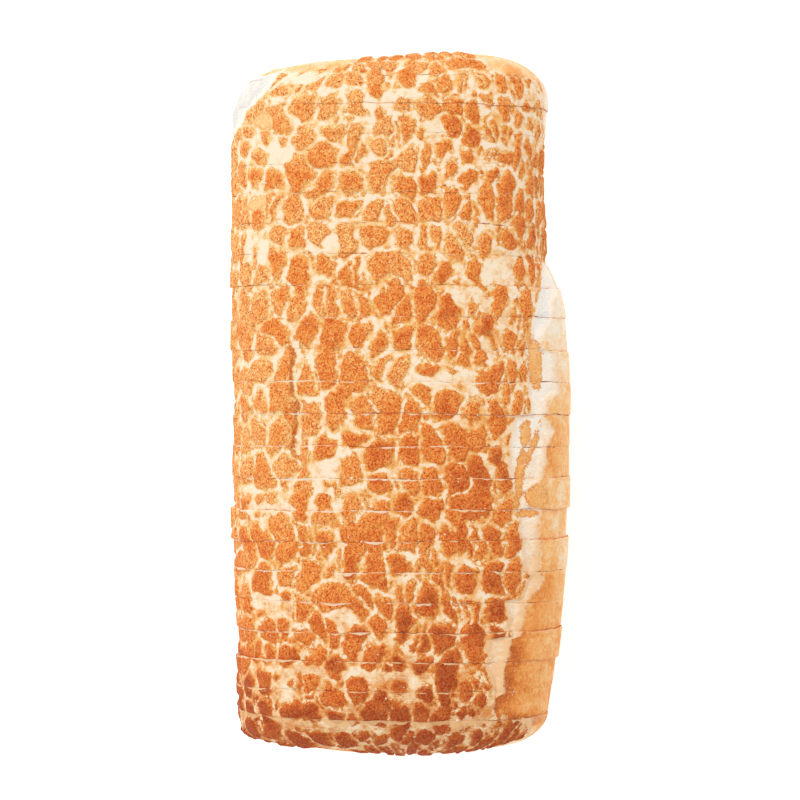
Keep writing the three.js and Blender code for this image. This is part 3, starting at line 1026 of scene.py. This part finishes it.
def crumbPlaces(random):
    # points of the slices' crust, mostly beside the cuts
    places = []
    for piece in bpy.data.objects:
        if piece.name.startswith("bread_slice"):
            points = np.empty(3 * len(piece.data.vertices), np.float32)
            piece.data.vertices.foreach_get("co", points)
            points = points.reshape(-1, 3) / mm
            toCut, inside = readLayer(piece.data, "toCut"), readLayer(piece.data, "inside")
            odds = np.exp(-np.maximum(toCut, 0) / crumbs["near"]) + crumbs["elsewhere"]
            odds = odds * (0.25 + smoothStep(*crumbs["moreSpan"], points[:, 1])) * (inside <= 0)
            odds = odds * (points[:, 2] > crumbs["lowest"]) * (points[:, 0] < crumbs["rightmost"])
            places.append(points[random.random(len(points)) < odds * crumbs["odds"]])
    return np.concatenate(places)


def makeCrumbs():
    random = np.random.default_rng(crumbs["seed"])
    places = crumbPlaces(random)
    bm = bmesh.new()
    for place in places:
        made = bmesh.ops.create_icosphere(bm, subdivisions=1, radius=1)["verts"]
        size = lerp(*crumbs["size"], random.random() ** 3)
        shape = Vector(0.5 + random.random(3))
        for vert in made:
            bumpy = size * (0.6 + 0.8 * random.random())
            vert.co = (vert.co * shape * bumpy + Vector(place) + Vector((0, 0, size * crumbs["over"]))) * mm
    for face in bm.faces:
        face.smooth = True
    mesh = bpy.data.meshes.new("crumbs")
    bm.to_mesh(mesh)
    bm.free()
    material, shader, make = newMaterial("whiteCrumb")
    pores = make.grain(make.node("ShaderNodeTexCoord", out=3), crumbs["pores"])
    colour = make.mix(pores.between(0.4, 0.65), crumbs["colour"], crumbs["deep"])
    feedShader(make, shader, colour, pores, crumbs["bump"], crumbs["roughness"])
    mesh.materials.append(material)
    addPiece("loose_crumbs", mesh)
    print("crumbs made:", len(places))


def makeSlices():
    crust = crustMaterial()
    first, rows = fineness["cutRows"], fineness["rows"]
    inner = sleeve("innerSleeve", rows + 2 * first, [first, first + rows])
    heelRows = first + fineness["heelRows"] + fineness["wallRows"]
    farHeel = sleeve("farSleeve", heelRows, [first])
    nearHeel = sleeve("nearSleeve", heelRows, [heelRows - first])
    print("sleeves made")
    last = slicing["slices"] - 1
    for k in range(slicing["slices"]):
        node = "heel_far" if k == 0 else "heel_near" if k == last else f"slice_{k:02d}"
        mesh = (farHeel if k == 0 else nearHeel if k == last else inner).copy()
        mesh.name = node
        mesh.materials.append(crust)
        if k in (0, last):
            placeHeel(mesh, k)
        else:
            placeInner(mesh, k)
        addPiece("bread_" + node, mesh, node)
    for mesh in (inner, farHeel, nearHeel):
        bpy.data.meshes.remove(mesh)
    print("slices made")


# The view straight down, as in the photograph.
camera = {
    "above": 1.266,  # metres over the table
    "seen": 0.279,  # width that the picture takes in at the crown
    "y": 0.0016,
    "sensor": 36,
}


def makeCamera():
    data = bpy.data.cameras.new("topCamera")
    data.sensor_width = camera["sensor"]
    crown = loaf["crown"] * mm
    data.lens = camera["sensor"] * (camera["above"] - crown) / camera["seen"]
    eye = bpy.data.objects.new("topCamera", data)
    eye.location = (0, camera["y"], camera["above"])
    bpy.context.scene.collection.objects.link(eye)
    bpy.context.scene.camera = eye


studio = {
    "table": 12,  # metres, as all sizes here
    "tableColour": (0.9, 0.9, 0.9, 1),
    "tableRoughness": 0.9,
    "white": (1, 1, 1, 1),
    "tableGlow": 0.62,  # a light table, so no shadow shows on it
    "sky": 0.63,
    "keyPower": 24.2,
    "keySize": 1.0,
    "keyAt": (-0.65, 0.8, 2.1),
    "keyColour": (1, 0.985, 0.96),
}


def makeStudio():
    bm = bmesh.new()
    bmesh.ops.create_grid(bm, x_segments=4, y_segments=4, size=studio["table"] / 2)
    mesh = bpy.data.meshes.new("table")
    bm.to_mesh(mesh)
    bm.free()
    material, shader, _ = newMaterial("paleTable")
    shader.inputs["Base Color"].default_value = studio["tableColour"]
    shader.inputs["Roughness"].default_value = studio["tableRoughness"]
    shader.inputs["Emission Color"].default_value = studio["white"]
    shader.inputs["Emission Strength"].default_value = studio["tableGlow"]
    mesh.materials.append(material)
    table = bpy.data.objects.new("table", mesh)
    bpy.context.scene.collection.objects.link(table)

    world = bpy.data.worlds.new("studio")
    world.use_nodes = True
    sky = world.node_tree.nodes["Background"]
    sky.inputs["Color"].default_value = studio["white"]
    sky.inputs["Strength"].default_value = studio["sky"]
    bpy.context.scene.world = world

    lamp = bpy.data.lights.new("windowLight", "AREA")
    lamp.size = studio["keySize"]
    lamp.energy = studio["keyPower"]
    lamp.color = studio["keyColour"]
    key = bpy.data.objects.new("windowLight", lamp)
    key.location = studio["keyAt"]
    aim = -np.array(studio["keyAt"])
    key.rotation_euler = (math.atan2(math.hypot(aim[0], aim[1]), -aim[2]), 0, math.atan2(-aim[0], aim[1]))
    bpy.context.scene.collection.objects.link(key)
    bpy.context.scene.view_settings.view_transform = "Standard"


makeCamera()
makeStudio()
print("camera and studio made")
makeSlices()
makeCrumbs()
